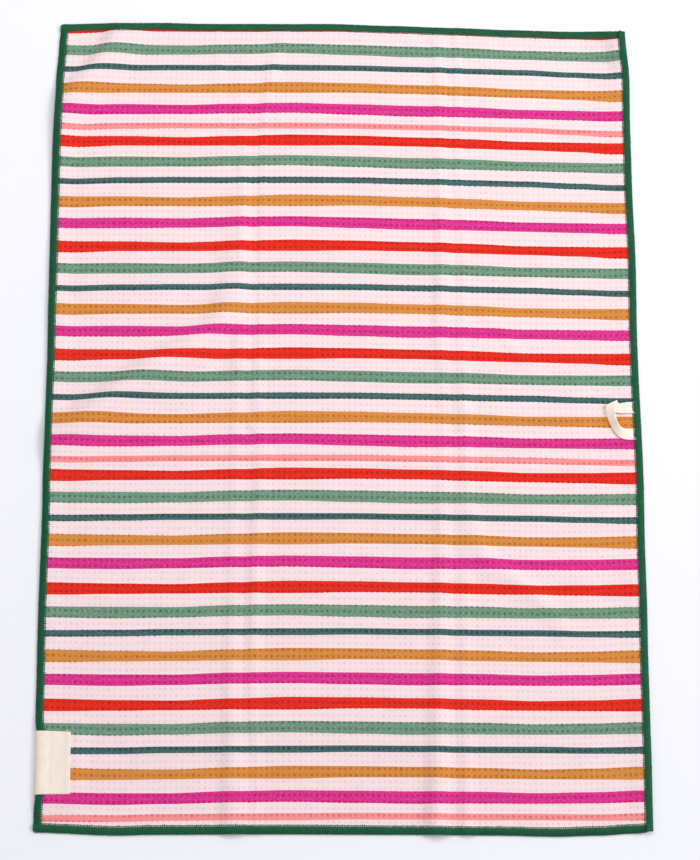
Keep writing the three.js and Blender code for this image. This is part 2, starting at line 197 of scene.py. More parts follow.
def fold_height(line, x, y):
    """The height of one fold over places of the towel, from the nearest point of its line."""
    nearest = np.full(x.shape, np.inf)
    high, side, spread_left, spread_right = (np.ones(x.shape) for _ in range(4))
    for start, end in zip(line[:-1], line[1:]):
        run = (end - start)[:2]
        share = np.clip(((x - start[0]) * run[0] + (y - start[1]) * run[1]) / (run @ run), 0, 1)
        off_x = x - start[0] - run[0] * share
        off_y = y - start[1] - run[1] * share
        distance = np.hypot(off_x, off_y)
        closer = distance < nearest
        nearest = np.where(closer, distance, nearest)
        high = np.where(closer, np.maximum(0, start[2] + (end[2] - start[2]) * share), high)
        spread_left = np.where(closer, start[3] + (end[3] - start[3]) * share, spread_left)
        spread_right = np.where(closer, start[4] + (end[4] - start[4]) * share, spread_right)
        side = np.where(closer, run[0] * off_y - run[1] * off_x, side)
    fall = np.minimum(nearest / np.where(side > 0, spread_left, spread_right), 1.0)
    return high * 0.5 * (1 + np.cos(math.pi * fall))


drawn_folds = [smooth_route(route, fold_steps, flat=2) for route in folds.values()]

# Where the label lies, whose back half lifts the cloth
label_length = 52.0
label_centre = -299.3
label_width = 30.0
label_margin = 3.0
label_lift = 1.3
rim_reach = 60.0
drawn_in_at_sides = 0.15
drawn_in_at_top = 0.45


def lift_over_label(across, along):
    """How far the label's back half, under the cloth, lifts it."""
    past_end = np.abs(along - label_centre) - label_length / 2 - label_margin
    past_side = across + half_width - label_width - label_margin
    away = np.hypot(np.maximum(0, past_end), np.maximum(0, past_side))
    return label_lift * (1 - smooth_step(away / edge_ramp))


def fold_lift(across, along):
    """The height of all the folds. Where two meet, they blend into one a little higher."""
    x = np.clip(across, edge_band - half_width, half_width - edge_band)
    y = np.clip(along, edge_band - half_length, half_length - edge_band)
    total = lift_over_label(x, y) ** 2
    for fold in drawn_folds:
        total = total + fold_height(fold, x, y) ** 2
    return np.sqrt(total)


def distance_from_edge(across, along):
    return np.minimum(half_width - np.abs(across), half_length - np.abs(along))


def middle_height(across, along):
    """The height of the middle of the cloth, which is also the edging's at the rim."""
    ramp = smooth_step((distance_from_edge(across, along) - edge_band) / edge_ramp)
    rest = edging_thickness / 2 + (cloth_thickness - edging_thickness) / 2 * ramp
    return rest + fold_lift(across, along)


def half_thickness(across, along):
    share = (distance_from_edge(across, along) - edge_band) / (edge_ramp / 2)
    return (cloth_pinched + (cloth_thickness - cloth_pinched) * smooth_step(share)) / 2


def lay_at(across, along):
    """Where a flat place lies on the bowed outline, whose raised stretches are drawn in."""
    to_right = (1 + across / half_width) / 2
    to_top = (1 + along / half_length) / 2
    x = across + table_at(right_bow, along) * to_right - table_at(left_bow, along) * (1 - to_right)
    y = along + table_at(top_bow, across) * to_top - table_at(bottom_bow, across) * (1 - to_top)
    lift = fold_lift(across, along)
    by_side = smooth_step((np.abs(across) - half_width + rim_reach) / rim_reach)
    by_top = smooth_step((along - half_length + rim_reach) / rim_reach)
    x = x - np.sign(across) * drawn_in_at_sides * lift * by_side
    return x, y - drawn_in_at_top * lift * by_top


def make_piece(name, points, faces, material):
    """A mesh piece from points in millimetres, smooth, riding on the towel."""
    mesh = bpy.data.meshes.new(name)
    mesh.from_pydata([tuple(p) for p in np.asarray(points) * MM], [], faces)
    mesh.polygons.foreach_set("use_smooth", [True] * len(mesh.polygons))
    mesh.materials.append(material)
    mesh.update()
    piece = bpy.data.objects.new(name, mesh)
    bpy.context.scene.collection.objects.link(piece)
    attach(piece, "root")
    return piece


def set_attribute(piece, name, kind, domain, values):
    field = {"FLOAT_VECTOR": "vector", "FLOAT_COLOR": "color"}[kind]
    attribute = piece.data.attributes.new(name, kind, domain)
    attribute.data.foreach_set(field, np.asarray(values, np.float32).ravel())


dimple_across = 4.65
dimple_along = 5.4
dimple_depth = 0.3
dimple_unevenness = 0.35
dimple_seed = 7


def dimple_lines(half_size, dimple):
    """Lines half a dimple apart over the cloth one way, and its two cut edges."""
    whole = int(half_size / dimple)
    lines = np.arange(-2 * whole, 2 * whole + 1) * dimple / 2
    return np.concatenate([[-half_size], lines, [half_size]])


# The face of the cloth has two rows of points to a dimple, and its back one.
across, along = np.meshgrid(
    dimple_lines(cloth_half_width, dimple_across), dimple_lines(cloth_half_length, dimple_along)
)
middle = middle_height(across, along)
inside = smooth_step((distance_from_edge(across, along) - edge_band) / edge_ramp)
thick = half_thickness(across, along)
dimpled = np.zeros(across.shape)
dimpled[1:-1:2, 1:-1:2] = 1
chance = np.random.default_rng(dimple_seed)
dimpled *= 1 - dimple_unevenness * chance.random(across.shape)
lay_x, lay_y = lay_at(across, along)
face_height = middle + thick - dimple_depth * dimpled * inside
back_height = np.maximum(0, middle - thick)

rows, columns = across.shape


def as_points(*parts):
    return np.stack(parts, -1).reshape(-1, 3)


face_points = as_points(lay_x, lay_y, face_height)
back_rows = np.concatenate([[0], np.arange(1, rows - 1, 2), [rows - 1]])
back_columns = np.concatenate([[0], np.arange(1, columns - 1, 2), [columns - 1]])
back_pick = np.ix_(back_rows, back_columns)
back_points = as_points(lay_x[back_pick], lay_y[back_pick], back_height[back_pick])

face_at = np.arange(rows * columns).reshape(rows, columns)
back_at = rows * columns + np.arange(len(back_points)).reshape(len(back_rows), len(back_columns))


def grid_quads(at, facing_down):
    """Quads over a grid of point numbers."""
    a, b, c, d = at[:-1, :-1], at[:-1, 1:], at[1:, 1:], at[1:, :-1]
    return np.stack([a, d, c, b] if facing_down else [a, b, c, d], -1).reshape(-1, 4)


def close_rim(face_line, back_line, picked, outward):
    """Triangles between the finer edge of the face and the edge of the back."""
    triangles = []
    for part in range(len(picked) - 1):
        run = face_line[picked[part]:picked[part + 1] + 1]
        low, high = back_line[part], back_line[part + 1]
        turn = len(run) // 2
        for step in range(len(run) - 1):
            triangles.append([run[step], low if step < turn else high, run[step + 1]])
        triangles.append([low, high, run[turn]])
    return triangles if outward else [[a, c, b] for a, b, c in triangles]


rim = np.array(
    close_rim(face_at[0], back_at[0], back_columns, True)
    + close_rim(face_at[-1], back_at[-1], back_columns, False)
    + close_rim(face_at[:, 0], back_at[:, 0], back_rows, False)
    + close_rim(face_at[:, -1], back_at[:, -1], back_rows, True)
)
face_sets = (grid_quads(face_at, False), grid_quads(back_at, True), rim)

# The print: one repeat of stripes from the top of the towel down, each with
# the distance to the next one's middle, and where each repeat starts.
print_repeat = [
    ("sage", 17.6), ("teal", 19.2), ("ochre", 19.7), ("magenta", 16.0), ("salmon", 14.0),
    ("red", 19.2), ("sage", 17.6), ("teal", 19.3), ("ochre", 19.8), ("magenta", 21.6),
    ("red", 19.9), ("sage", 17.6), ("teal", 19.2), ("ochre", 19.8), ("magenta", 21.0),
    ("red", 19.8),
]
repeat_starts = [636.3, 333.1, 29.9, -271.7, -573.3]
# How each brushed stripe wanders from its middle, and its width, across the
# towel: (across, off, width).
brushed = {
    "even": [
        (-246, -1.2, 9.0), (-190, -0.9, 9.3), (-145, -0.6, 8.4), (-95, 0.8, 8.9),
        (-45, 1.9, 9.1), (10, 1.1, 9.6), (60, 0.2, 9.9), (110, -0.1, 9.3),
        (160, -1.1, 8.3), (205, -1.2, 8.7), (246, -1.2, 9.3),
    ],
    "swelling": [
        (-246, -1.3, 10.1), (-190, -0.7, 8.6), (-145, -0.7, 7.7), (-95, 0.4, 8.8),
        (-45, 1.5, 10.2), (10, 1.8, 8.9), (60, 1.2, 8.3), (110, 0.0, 8.7),
        (160, -1.2, 7.7), (205, -1.5, 8.6), (246, -1.9, 10.2),
    ],
    "narrow": [
        (-246, -1.7, 5.1), (-190, -0.6, 5.2), (-145, 0.2, 5.1), (-95, 0.5, 5.1),
        (-45, 1.1, 5.5), (10, 1.4, 5.1), (60, 0.9, 5.1), (110, 0.1, 5.1),
        (160, -0.3, 5.1), (205, -1.4, 4.9), (246, -2.1, 5.4),
    ],
}
# How the stripes bow at the top of the towel, and the other way at its bottom: (across, off).
rows_bow = [
    (-246, -1.0), (-190, 0.2), (-145, 0.1), (-95, 0.0), (-45, 0.4), (10, 0.2),
    (60, -0.1), (110, -0.4), (160, -0.8), (205, -1.5), (246, -2.7),
]
rows_bow_reach = 350.0
# Each dye: the shape of its stripes, its colour, and how far bare fibres show in it.
stripe_dyes = {
    "sage": ("even", (0.130, 0.259, 0.169), 0.13),
    "teal": ("narrow", (0.038, 0.112, 0.107), 0.07),
    "ochre": ("swelling", (0.613, 0.227, 0.037), 0.07),
    "magenta": ("even", (0.640, 0.024, 0.234), 0.06),
    "salmon": ("narrow", (0.836, 0.254, 0.260), 0.05),
    "red": ("swelling", (0.695, 0.020, 0.008), 0.025),
}
ground_colour = (0.853, 0.668, 0.680)
show_through_at_back = 0.16
stripe_reach = 8.0
top_stripe_nudge = 1.6

stripes = []
for start, following in zip(repeat_starts[:-1], repeat_starts[1:]):
    stretch = (start - following) / sum(step for _, step in print_repeat)
    middle_line = start
    for dye, step in print_repeat:
        if abs(middle_line) < cloth_half_length + stripe_reach:
            stripes.append((dye, middle_line))
        middle_line -= step * stretch
# The topmost stripe lies almost wholly under the top edging.
stripes[0] = (stripes[0][0], stripes[0][1] + top_stripe_nudge)


def stripe_line(dye, middle_line, x):
    """The middle of a stripe and half its width, at places across."""
    shape = brushed[stripe_dyes[dye][0]]
    bow = table_at(rows_bow, x) * middle_line / rows_bow_reach
    return middle_line + table_at(shape, x) + bow, table_at(shape, x, 2) / 2


# Each face belongs to its nearest stripe. Its corners hold their distance from the
# stripe's middle, half the stripe's width there, and the dye.
all_points = np.concatenate([face_points, back_points])
face_middles = np.concatenate([all_points[corners].mean(1) for corners in face_sets])
nearest_gap = np.full(len(face_middles), np.inf)
nearest_stripe = np.zeros(len(face_middles), int)
for number, (dye, middle_line) in enumerate(stripes):
    line, half = stripe_line(dye, middle_line, face_middles[:, 0])
    gap = np.abs(face_middles[:, 1] - line) - half
    closer = gap < nearest_gap
    nearest_gap = np.where(closer, gap, nearest_gap)
    nearest_stripe = np.where(closer, number, nearest_stripe)

sides_of_face = np.concatenate([np.full(len(corners), corners.shape[1]) for corners in face_sets])
corner_points = all_points[np.concatenate([corners.ravel() for corners in face_sets])]
corner_stripe = np.repeat(nearest_stripe, sides_of_face)
on_back = np.repeat(np.arange(len(sides_of_face)) >= len(face_sets[0]), sides_of_face)
corner_off = np.zeros(len(corner_points))
corner_half = np.zeros(len(corner_points))
corner_dye = np.zeros((len(corner_points), 4))
for number, (dye, middle_line) in enumerate(stripes):
    mine = corner_stripe == number
    line, half = stripe_line(dye, middle_line, corner_points[mine, 0])
    corner_off[mine] = corner_points[mine, 1] - line
    corner_half[mine] = half
    colour = np.array(stripe_dyes[dye][1])
    ground = np.array(ground_colour)
    strength = np.where(on_back[mine], show_through_at_back, 1.0)[:, None]
    bare_share = np.full((mine.sum(), 1), stripe_dyes[dye][2])
    corner_dye[mine] = np.concatenate([ground + (colour - ground) * strength, bare_share], 1)


class Bench:
    """Adds and joins the nodes of one material or group."""

    def __init__(self, tree):
        self.tree = tree

    def put(self, kind, settings=None, **values):
        node = self.tree.nodes.new("ShaderNode" + kind)
        for key, value in (settings or {}).items():
            setattr(node, key, value)
        for key, value in values.items():
            self.feed(node.inputs[key], value)
        return node

    def feed(self, socket, value):
        if isinstance(value, bpy.types.NodeSocket):
            self.tree.links.new(value, socket)
        else:
            socket.default_value = value

    def math(self, operation, *values, kind="Math"):
        node = self.put(kind, {"operation": operation})
        for socket, value in zip(node.inputs, values):
            self.feed(socket, value)
        return node.outputs[0]

    def vector(self, operation, *values):
        return self.math(operation, *values, kind="VectorMath")

    def tint(self, colour, light):
        node = self.put("VectorMath", {"operation": "SCALE"}, Vector=colour, Scale=light)
        return node.outputs[0]

    def noise(self, place, scale, detail):
        return self.put(
            "TexNoise", {"noise_dimensions": "2D"}, Vector=place, Scale=scale, Detail=detail
        ).outputs[0]

    def remap(self, value, low, high, to_low, to_high, smooth=False):
        node = self.put("MapRange", {"interpolation_type": "SMOOTHSTEP" if smooth else "LINEAR"})
        for socket, item in zip(node.inputs, (value, low, high, to_low, to_high)):
            self.feed(socket, item)
        return node.outputs[0]

    def blend(self, kind, share, a, b):
        """Two colours blended. Inputs 6 and 7 and output 2 of a Mix node are colours."""
        node = self.put("Mix", {"data_type": "RGBA", "blend_type": kind})
        for socket, item in ((0, share), (6, a), (7, b)):
            self.feed(node.inputs[socket], item)
        return node.outputs[2]

    def attribute(self, name):
        return self.put("Attribute", {"attribute_name": name}).outputs

    def surface(self, shader, colour, rough, height, strength, depth):
        """Gives a shader its colour, its roughness and a fine relief, its depth in metres."""
        bump = self.put("Bump", Height=height, Strength=strength, Distance=depth)
        for name, value in (
            ("Base Color", colour), ("Roughness", rough), ("Normal", bump.outputs[0]),
        ):
            self.feed(shader.inputs[name], value)


def woven_thread_group():
    """Fine crossed threads over a flat place in millimetres: a shade and a height."""
    group = bpy.data.node_groups.new("woven_threads", "ShaderNodeTree")
    for way, name, kind in (
        ("INPUT", "Place", "Vector"), ("INPUT", "Thread Pitch", "Float"),
        ("INPUT", "Slant", "Float"), ("INPUT", "Unevenness", "Float"),
        ("OUTPUT", "Shade", "Float"), ("OUTPUT", "Height", "Float"),
    ):
        group.interface.new_socket(name=name, in_out=way, socket_type="NodeSocket" + kind)
    given = group.nodes.new("NodeGroupInput").outputs
    out = group.nodes.new("NodeGroupOutput").inputs
    bench = Bench(group)
    place = bench.put("SeparateXYZ", Vector=given["Place"]).outputs
    turn = bench.math("DIVIDE", 2 * math.pi, given["Thread Pitch"])
    slanted = bench.math("MULTIPLY_ADD", place["Y"], given["Slant"], place["X"])
    warp = bench.math("SINE", bench.math("MULTIPLY", slanted, turn))
    weft = bench.math("SINE", bench.math("MULTIPLY", place["Y"], turn))
    crossed = bench.math("MULTIPLY", warp, weft)
    fuzz = bench.noise(given["Place"], 2.4, 3.0)
    height = bench.math(
        "MULTIPLY_ADD", bench.math("SUBTRACT", fuzz, 0.5), given["Unevenness"],
        bench.math("MULTIPLY", crossed, 0.25),
    )
    bench.feed(out["Height"], height)
    bench.feed(out["Shade"], bench.math("ADD", height, 0.5))
    return group


woven_threads = woven_thread_group()

# How the cloth looks close up: lengths in millimetres, and shares of colour.
pit_floor = 0.4
pit_rim = 1.9
pit_wobble = 2.6
shallowest_pit = 0.5
cloth_thread_pitch = 0.62
print_raggedness = 0.5
print_edge = 0.36
# painted shade in the dimples, and a touch of painted light between them
painted_dye_shade_in_pits = 0.52
weave_shade = 0.16
painted_pit_shade = 0.15
painted_light_between_pits = 1.03


def new_material(name):
    material = bpy.data.materials.new(name)
    material.use_nodes = True
    shader = material.node_tree.nodes["Principled BSDF"]
    return material, Bench(material.node_tree), shader


def cloth_material():
    material, bench, shader = new_material("printed_waffle_cloth")
    place = bench.attribute("flat_place")["Vector"]
    stripe = bench.attribute("stripe_place")["Vector"]
    dye_marks = bench.attribute("stripe_dye")
    dye = dye_marks["Color"]

    # dimples: one to each cell of the waffle, some deeper than others
    cell = bench.vector("DIVIDE", place, (dimple_across, dimple_along, 1.0))
    number = bench.vector("FLOOR", bench.vector("ADD", cell, (0.5, 0.5, 0.5)))
    off = bench.vector("SUBTRACT", cell, number)
    away = bench.vector("MULTIPLY", off, (dimple_across, dimple_along, 0.0))
    wobble = bench.noise(place, 0.55, 2.0)
    distance = bench.put("VectorMath", {"operation": "LENGTH"}, Vector=away).outputs["Value"]
    distance = bench.math("MULTIPLY_ADD", bench.math("SUBTRACT", wobble, 0.5), pit_wobble, distance)
    luck = bench.put("TexWhiteNoise", {"noise_dimensions": "2D"}, Vector=number).outputs["Value"]
    depth = bench.remap(luck, 0.0, 1.0, shallowest_pit, 1.0)
    pit = bench.remap(distance, pit_floor, pit_rim, 1.0, 0.0, smooth=True)
    pit = bench.math("MULTIPLY", pit, depth)

    threads = bench.put(
        "Group", {"node_tree": woven_threads},
        **{"Place": place, "Thread Pitch": cloth_thread_pitch, "Unevenness": 0.9},
    ).outputs

    # the print, with the slightly ragged edge of dye on a rough weave
    parts = bench.put("SeparateXYZ", Vector=stripe).outputs
    edge = bench.math("SUBTRACT", bench.math("ABSOLUTE", parts["X"]), parts["Y"])
    ragged = bench.math("SUBTRACT", bench.noise(place, 0.9, 2.0), 0.5)
    edge = bench.math("MULTIPLY_ADD", ragged, print_raggedness, edge)
    edge = bench.math("MULTIPLY_ADD", pit, -0.2, edge)
    dyed = bench.remap(edge, 0.0, print_edge, 1.0, 0.0, smooth=True)

    # painted shade: the colour is darker and richer in the dimples, and bare fibres show on the
    # threads between
    dye_shaded_in_pits = bench.blend("MULTIPLY", bench.math("MULTIPLY", pit, painted_dye_shade_in_pits), dye, dye)
    fibres = bench.remap(bench.noise(place, 0.5, 3.0), 0.42, 0.70, 0.0, 1.0, smooth=True)
    bare = bench.math("MULTIPLY", bench.math("SUBTRACT", 1.0, pit), fibres)
    worn = bench.blend(
        "MIX", bench.math("MULTIPLY", bare, dye_marks["Alpha"]), dye_shaded_in_pits, (*ground_colour, 1.0)
    )
    colour = bench.blend("MIX", dyed, (*ground_colour, 1.0), worn)

    light = bench.remap(bench.noise(place, 0.05, 3.0), 0.2, 0.8, 0.975, 1.025)
    grain = bench.remap(threads["Shade"], 0.0, 1.0, 1 - weave_shade, 1 + weave_shade)
    # painted shade in the dimples, with a little painted light between them
    dim = bench.math("MULTIPLY_ADD", pit, -painted_pit_shade, painted_light_between_pits)
    tone = bench.math("MULTIPLY", bench.math("MULTIPLY", light, grain), dim)
    rough = bench.remap(threads["Shade"], 0.0, 1.0, 0.82, 0.96)
    height = bench.math("SUBTRACT", bench.math("MULTIPLY", threads["Height"], 0.35), pit)
    bench.surface(shader, bench.tint(colour, tone), rough, height, strength=0.4, depth=0.0003)
    shader.inputs["Specular IOR Level"].default_value = 0.1
    shader.inputs["Sheen Weight"].default_value = 0.04
    shader.inputs["Sheen Roughness"].default_value = 0.5
    return material


cloth_faces = [face for corners in face_sets for face in corners.tolist()]
flat_face, flat_back = (
    as_points(x, y, x * 0) for x, y in ((across, along), (across[back_pick], along[back_pick]))
)
stripe_places = as_points(corner_off, corner_half, corner_off * 0)
flat_places = np.concatenate([flat_face, flat_back])
towel = make_piece("printed_cloth", all_points, cloth_faces, cloth_material())
set_attribute(towel, "flat_place", "FLOAT_VECTOR", "POINT", flat_places)
set_attribute(towel, "stripe_place", "FLOAT_VECTOR", "CORNER", stripe_places)
set_attribute(towel, "stripe_dye", "FLOAT_COLOR", "CORNER", corner_dye)
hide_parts("towel_cloth")

# The edging: a close overlock of green thread over each cut edge. Every stitch
# wraps the edge from face to back, and every second one reaches further on to
# the cloth as a little tooth. A needle thread runs along their inner ends.

stitch_pitch = 0.932
stitch_radius = 0.46
stitch_sides = 6
stitch_slant = 0.09
slant_centre = 3.0
stitch_seed = 21
# How far a stitch strays (along, inwards, up), and how much one that strays inwards stretches
stitch_scatter = (0.06, 0.14, 0.02)
wrap_give = 1 / 12
tooth_give = 1 / 6
# Sections across the edging: (in from the towel's outline, up from its middle)
wrap_face = [
    (6.1, 0.40), (5.5, 0.77), (4.2, 0.96), (3.0, 0.84), (1.9, 0.50), (1.1, 0.10),
    (0.62, -0.22), (0.47, -0.50),
]
tooth_face = [(7.35, 0.20), (6.8, 0.48), (5.8, 0.84), *wrap_face[2:]]
wrap_back = [(0.62, -0.78), (1.1, -0.93), (2.2, -0.97), (4.4, -0.97), (5.3, -0.78), (5.9, -0.40)]
core_section = [
    (0.7, -0.40), (1.3, 0.05), (2.1, 0.42), (3.1, 0.72), (4.2, 0.84), (5.4, 0.63), (6.15, 0.20),
    (6.15, -0.20), (5.4, -0.60), (4.2, -0.80), (2.2, -0.80), (1.1, -0.76),
]
needle_section = [
    (7.40, 0.36), (7.28, 0.56), (7.04, 0.56), (6.92, 0.36), (7.04, 0.16), (7.28, 0.16),
]
# painted shade on the teeth's inner ends, the core and the needle thread: where it starts on a
# tooth, and how deep it is
tooth_end_painted_shade_from = 6.0
painted_shade_depth = 0.9
core_step = 3.0
core_inset = 0.3
end_overrun = 0.5
first_stitch_inset = 0.8
edging_butt = 6.7
joint_overlap = 1.0
corner_radius = 2.6
corner_depth = 5.0
# How wide the edging turned out along three of the sides: (place, share)
left_widths = [
    (-356, 1.0), (-240, 0.96), (-125, 0.92), (0, 0.88), (70, 0.95), (130, 1.02), (356, 1.0),
]
top_widths = [(-256, 1.04), (120, 1.05), (256, 1.09)]
bottom_widths = [(-256, 1.04), (-60, 1.06), (110, 1.0), (256, 1.06)]
# The right edging rises over the tape's two ends and over the ends of its neighbours.
rise_past_end = 2.0
rises_at = [
    (-24.2, -13.6), (-0.6, 10.0), (half_length - edging_butt, half_length + rise_past_end),
    (-half_length - rise_past_end, edging_butt - half_length),
]
edging_rise = 1.2
rise_ramp = 1.2
rise_inner = 3.6
rise_inner_ramp = 1.4
face_above = -0.2


def draw_thread(name, path, radius, sides):
    """A closed thread along a path in the XZ plane, drawn ring by ring. Millimetres."""
    path = np.array(path, float)
    runs = np.diff(path, axis=0)
    headings = np.unwrap([math.atan2(run[1], run[0]) for run in runs])
    facing = [headings[0], *((headings[:-1] + headings[1:]) / 2), headings[-1]]
    bpy.ops.object.select_all(action="DESELECT")
    bpy.ops.mesh.primitive_circle_add(
        vertices=sides, radius=radius * MM, fill_type="NGON",
        location=(path[0][0] * MM, 0, path[0][1] * MM),
        rotation=(0, math.pi / 2 - headings[0], 0),
    )
    thread = bpy.context.object
    thread.name = name
    bpy.ops.object.transform_apply(location=True, rotation=True, scale=True)
    bpy.ops.object.mode_set(mode="EDIT")
    bpy.ops.mesh.select_mode(type="FACE")
    bpy.ops.mesh.select_all(action="SELECT")
    for step, run in enumerate(runs):
        bpy.ops.mesh.extrude_region_move(
            TRANSFORM_OT_translate={"value": (run[0] * MM, 0, run[1] * MM)}
        )
        centre = (path[step + 1][0] * MM, 0, path[step + 1][1] * MM)
        bpy.ops.transform.rotate(
            value=facing[step + 1] - facing[step], orient_axis="Y", center_override=centre
        )
    bpy.ops.mesh.select_all(action="DESELECT")
    bpy.ops.mesh.select_mode(type="EDGE")
    bpy.ops.mesh.select_non_manifold()
    bpy.ops.mesh.edge_face_add()
    bpy.ops.mesh.select_all(action="SELECT")
    bpy.ops.mesh.normals_make_consistent(inside=False)
    bpy.ops.object.mode_set(mode="OBJECT")
    return thread


def take_pattern(thread):
    """The points, in millimetres, and faces of a drawn thread, which is then put away."""
    points = np.array([vertex.co for vertex in thread.data.vertices]) / MM
    faces = [list(polygon.vertices) for polygon in thread.data.polygons]
    bpy.data.objects.remove(thread)
    return points, faces


wrap_stitch = take_pattern(
    draw_thread("wrap_stitch", wrap_face + wrap_back, stitch_radius, stitch_sides)
)
tooth_stitch = take_pattern(
    draw_thread("tooth_stitch", tooth_face + wrap_back, stitch_radius, stitch_sides)
)


def place_on_side(side):
    """How points of an edging lie along the left (-1) or right (1) side of the towel."""
    def place(run, inward, up):
        x, y = lay_at(side * (half_width - inward), run)
        return np.stack([x, y, middle_height(side * half_width + 0 * run, run) + up], -1)
    return place


def place_on_end(side):
    """How points of an edging lie along the bottom (-1) or top (1) end of the towel."""
    def place(run, inward, up):
        x, y = lay_at(run, side * (half_length - inward))
        return np.stack([x, y, middle_height(run, side * half_length + 0 * run) + up], -1)
    return place


def ease_corner(run, inward, round_end):
    """Draws the outer side in where a run turns the towel's rounded corner."""
    from_end = np.clip(np.abs(run - round_end), 0, corner_radius)
    cut = corner_radius - np.sqrt(corner_radius ** 2 - (corner_radius - from_end) ** 2)
    return inward + cut * np.clip(1 - inward / corner_depth, 0, 1)


def sew_edge(name, place, start, end, material, round_end=None, lifted=(), widths=None):
    """One run of edging: its stitches in a row over a soft core."""
    chance = np.random.default_rng(stitch_seed + len(name))
    count = int((end - start) / stitch_pitch)
    points, faces, marks = [], [], []
    total = 0
    for number in range(count):
        is_tooth = number % 2 == 1
        pattern, pattern_faces = tooth_stitch if is_tooth else wrap_stitch
        middle = start + (number + 0.5) * (end - start) / count
        jog, reach, rise = chance.normal(0, stitch_scatter)
        inward = pattern[:, 0] * (1 + reach * (tooth_give if is_tooth else wrap_give)) + reach / 2
        slant = stitch_slant * (pattern[:, 0] - slant_centre) * np.sign(pattern[:, 2])
        points.append(
            np.stack([middle + jog + pattern[:, 1] + slant, inward, pattern[:, 2] + rise], -1)
        )
        faces += [[corner + total for corner in face] for face in pattern_faces]
        ring = np.arange(len(pattern)) // stitch_sides
        tone = chance.random() * np.ones(len(pattern))
        # a tooth's inner end is painted in shade
        if is_tooth:
            tone = np.where(pattern[:, 0] > tooth_end_painted_shade_from, -painted_shade_depth, tone)
        marks.append(np.stack([ring * 1.0, pattern[:, 1], tone], -1))
        total += len(pattern)
    # the soft core under the stitches, and the needle thread along their inner ends, both painted in
    # shade
    for section in (core_section, needle_section):
        sides = len(section)
        stations = np.linspace(
            start + core_inset, end - core_inset, int((end - start) / core_step) + 1
        )
        points.append(np.array([[station, *corner] for station in stations for corner in section]))
        for ring in range(len(stations) - 1):
            for side in range(sides):
                a = total + ring * sides + side
                b = total + ring * sides + (side + 1) % sides
                faces.append([a, b, b + sides, a + sides])
        faces.append([total + side for side in range(sides)])
        faces.append([total + (len(stations) - 1) * sides + side for side in reversed(range(sides))])
        marks.append(np.tile([0.0, 0.0, -painted_shade_depth], (len(points[-1]), 1)))
        total += len(points[-1])
    run, inward, up = np.concatenate(points).T
    if widths is not None:
        inward = inward * table_at(widths, run)
    if round_end is not None:
        inward = ease_corner(run, inward, round_end)
    for low, high in lifted:
        near = smooth_step((run - low) / rise_ramp) * smooth_step((high - run) / rise_ramp)
        inner = smooth_step((inward - rise_inner) / rise_inner_ramp) * (up > face_above)
        up = up + edging_rise * near * inner
    edge = make_piece(name, place(run, inward, up), faces, material)
    set_attribute(edge, "thread_place", "FLOAT_VECTOR", "POINT", np.concatenate(marks))
    bpy.ops.object.select_all(action="DESELECT")
    edge.select_set(True)
    bpy.context.view_layer.objects.active = edge
    bpy.ops.object.mode_set(mode="EDIT")
    bpy.ops.mesh.select_all(action="SELECT")
    bpy.ops.mesh.normals_make_consistent(inside=False)
    bpy.ops.object.mode_set(mode="OBJECT")
    return edge


# Each point of a thread holds its place as (ring along it, off its middle, tone). Tones
# from 0 to 1 vary from stitch to stitch, and one below 0 is painted shade.
ply_to_ring = 1.9
ply_across = 5.0


def thread_material(name, colour, shine, tone_share):
    """Twisted polyester thread: fine plies, a soft shine, and stitches that differ a little."""
    material, bench, shader = new_material(name)
    place = bench.attribute("thread_place")["Vector"]
    spot = bench.put("TexCoord").outputs["Object"]
    parts = bench.put("SeparateXYZ", Vector=place).outputs
    turn = bench.math("MULTIPLY", parts["Y"], ply_across)
    ply = bench.math("SINE", bench.math("MULTIPLY_ADD", parts["X"], ply_to_ring, turn))
    fluff = bench.put("TexNoise", Vector=spot, Scale=1400.0, Detail=3.0).outputs[0]
    cloudy = bench.put("TexNoise", Vector=spot, Scale=60.0, Detail=2.0).outputs[0]
    light = bench.remap(parts["Z"], 0.0, 1.0, 1 - tone_share, 1 + tone_share)
    # painted shade where the tone is below 0, then cloudy, fluffy and ply tones
    for mask, low, high, darkest, lightest in (
        (parts["Z"], -1.0, 0.0, 0.35, 1.0), (cloudy, 0.25, 0.75, 0.88, 1.12),
        (fluff, 0.2, 0.8, 0.82, 1.18), (ply, -1.0, 1.0, 0.88, 1.08),
    ):
        light = bench.math("MULTIPLY", light, bench.remap(mask, low, high, darkest, lightest))
    rough = bench.remap(fluff, 0.2, 0.8, 0.42, 0.62)
    height = bench.math("MULTIPLY_ADD", fluff, 0.8, bench.math("MULTIPLY", ply, 0.3))
    bench.surface(shader, bench.tint(colour, light), rough, height, strength=0.4, depth=0.0001)
    shader.inputs["Specular IOR Level"].default_value = 0.9
    shader.inputs["Specular Tint"].default_value = shine
    return material


edging_thread = thread_material(
    "green_edging_thread", (0.011, 0.075, 0.035), (0.22, 1.0, 0.52, 1.0), 0.14
)

